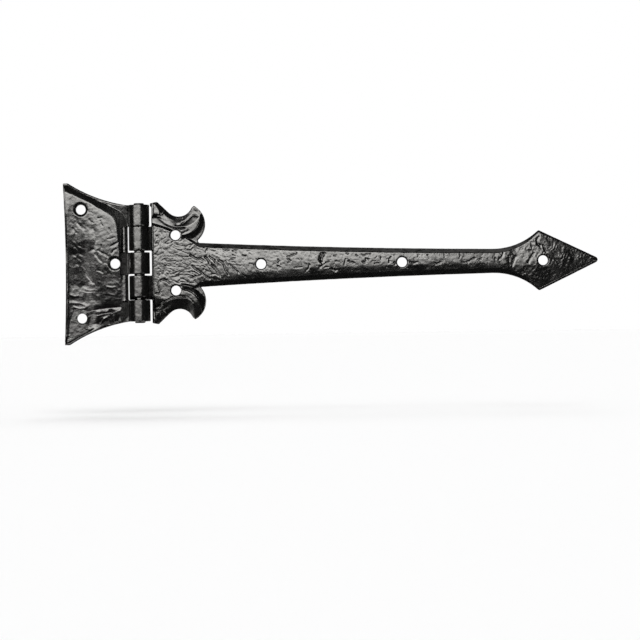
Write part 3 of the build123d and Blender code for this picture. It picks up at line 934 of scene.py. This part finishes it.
def soft_box(name, place, facing, size, brightness, fades):
    """A rectangular light that fades towards its sides and is seen by gloss alone."""
    data = bpy.data.lights.new(name, "AREA")
    data.shape = "RECTANGLE"
    data.size, data.size_y = size
    data.energy = brightness * math.pi * size[0] * size[1]
    data.color = SOFT_BOX_COLOUR
    data.use_nodes = True
    nodes, links = data.node_tree.nodes, data.node_tree.links
    spot = nodes.new("ShaderNodeNewGeometry")
    split = nodes.new("ShaderNodeSeparateXYZ")
    links.new(spot.outputs["Parametric"], split.inputs["Vector"])
    share = None
    for axis, dark, bright in fades:
        fade = nodes.new("ShaderNodeMapRange")
        fade.interpolation_type = "SMOOTHSTEP"
        fade.inputs["From Min"].default_value = dark
        fade.inputs["From Max"].default_value = bright
        links.new(split.outputs[axis], fade.inputs["Value"])
        if share is None:
            share = fade.outputs["Result"]
        else:
            both = nodes.new("ShaderNodeMath")
            both.operation = "MULTIPLY"
            links.new(share, both.inputs[0])
            links.new(fade.outputs["Result"], both.inputs[1])
            share = both.outputs["Value"]
    links.new(share, nodes["Emission"].inputs["Strength"])
    light = bpy.data.objects.new(name, data)
    light.location = place
    light.rotation_euler = Vector(facing).to_track_quat("-Z", "Y").to_euler()
    light.visible_diffuse = False
    bpy.context.scene.collection.objects.link(light)


class HINGE_OT_studio(bpy.types.Operator):
    """Set up the pale floor, the soft lights and the camera"""

    bl_idname = "hinge.studio"
    bl_label = "Studio"

    def execute(self, context):
        studio = context.scene.hinge_studio
        self.floor(context, studio)
        self.world(context, studio)
        self.lights(studio)
        self.camera(context, studio)
        context.scene.view_settings.view_transform = "Standard"
        return {"FINISHED"}

    def floor(self, context, studio):
        """A wide round floor below the hinge."""
        work = bmesh.new()
        bmesh.ops.create_circle(work, cap_ends=True, segments=96, radius=studio.floor_radius)
        bmesh.ops.translate(work, verts=work.verts, vec=(0, 0, -studio.floor_drop))
        mesh = bpy.data.meshes.new("floor")
        work.to_mesh(mesh)
        work.free()
        floor = bpy.data.objects.new("floor", mesh)
        context.scene.collection.objects.link(floor)
        material = bpy.data.materials.new("pale_floor")
        material.use_nodes = True
        shader = material.node_tree.nodes["Principled BSDF"]
        shader.inputs["Base Color"].default_value = (*studio.floor_colour, 1)
        shader.inputs["Roughness"].default_value = 0.9
        shader.inputs["Specular IOR Level"].default_value = 0.0
        floor.data.materials.append(material)
        floor.visible_glossy = False

    def world(self, context, studio):
        """White around the floor, which gloss sees as a dim room."""
        world = bpy.data.worlds.new("studio")
        world.use_nodes = True
        context.scene.world = world
        nodes, links = world.node_tree.nodes, world.node_tree.links
        shader = nodes["Background"]
        shader.inputs["Color"].default_value = (1, 1, 1, 1)
        shader.inputs["Strength"].default_value = 1.0
        path = nodes.new("ShaderNodeLightPath")
        for ray, strength in (("Is Diffuse Ray", studio.floor_fill),
                              ("Is Glossy Ray", studio.room_light)):
            room = nodes.new("ShaderNodeBackground")
            room.inputs["Color"].default_value = (1, 1, 1, 1)
            room.inputs["Strength"].default_value = strength
            choice = nodes.new("ShaderNodeMixShader")
            links.new(path.outputs[ray], choice.inputs["Fac"])
            links.new(shader.outputs[0], choice.inputs[1])
            links.new(room.outputs["Background"], choice.inputs[2])
            shader = choice
        links.new(shader.outputs[0], nodes["World Output"].inputs["Surface"])

    def lights(self, studio):
        """Soft boxes for the paint in front, behind and overhead, and broad lamps for the floor."""
        for name, place, facing, size, strength, fades in SOFT_BOXES:
            soft_box(name, place, facing, size, getattr(studio, strength), fades)
        for name, tilt in FLOOR_LAMPS:
            data = bpy.data.lights.new(name, "SUN")
            data.energy = studio.floor_light
            data.angle = math.radians(FLOOR_LAMP_ANGLE)
            lamp = bpy.data.objects.new(name, data)
            lamp.rotation_euler = (math.radians(tilt), 0, 0)
            lamp.visible_glossy = False
            bpy.context.scene.collection.objects.link(lamp)

    def camera(self, context, studio):
        """The photograph's view: square on to the front, a little rolled."""
        data = bpy.data.cameras.new("camera")
        data.lens = studio.lens
        data.sensor_width = SENSOR_WIDTH
        camera = bpy.data.objects.new("camera", data)
        camera.location = (CAMERA_ASIDE, -studio.camera_distance, CAMERA_HEIGHT)
        camera.rotation_euler = (math.radians(90), studio.roll, 0)
        context.scene.collection.objects.link(camera)
        context.scene.camera = camera


PIECES = (HINGE_OT_jamb_plate, HINGE_OT_strap, HINGE_OT_pin, HINGE_OT_studio)


class HINGE_PT_panel(bpy.types.Panel):
    """Lists the hinge's pieces and its studio"""

    bl_idname = "HINGE_PT_panel"
    bl_label = "Tee hinge"
    bl_space_type = "VIEW_3D"
    bl_region_type = "UI"
    bl_category = "Tee hinge"

    def draw(self, context):
        for piece in PIECES:
            self.layout.operator(piece.bl_idname)
        for settings in ("hinge_casting", "hinge_paint", "hinge_studio"):
            box = self.layout.box()
            group = getattr(context.scene, settings)
            for name in group.bl_rna.properties.keys():
                if name not in {"rna_type", "name"}:
                    box.prop(group, name)


CLASSES = (CastingSettings, PaintSettings, StudioSettings, *PIECES, HINGE_PT_panel)


def register():
    for item in CLASSES:
        bpy.utils.register_class(item)
    bpy.types.Scene.hinge_casting = PointerProperty(type=CastingSettings)
    bpy.types.Scene.hinge_paint = PointerProperty(type=PaintSettings)
    bpy.types.Scene.hinge_studio = PointerProperty(type=StudioSettings)


def unregister():
    del bpy.types.Scene.hinge_studio
    del bpy.types.Scene.hinge_paint
    del bpy.types.Scene.hinge_casting
    for item in reversed(CLASSES):
        bpy.utils.unregister_class(item)


def main():
    register()
    bpy.ops.hinge.studio()
    bpy.ops.hinge.jamb_plate()
    bpy.ops.hinge.strap()
    bpy.ops.hinge.pin()


if __name__ == "__main__":
    main()
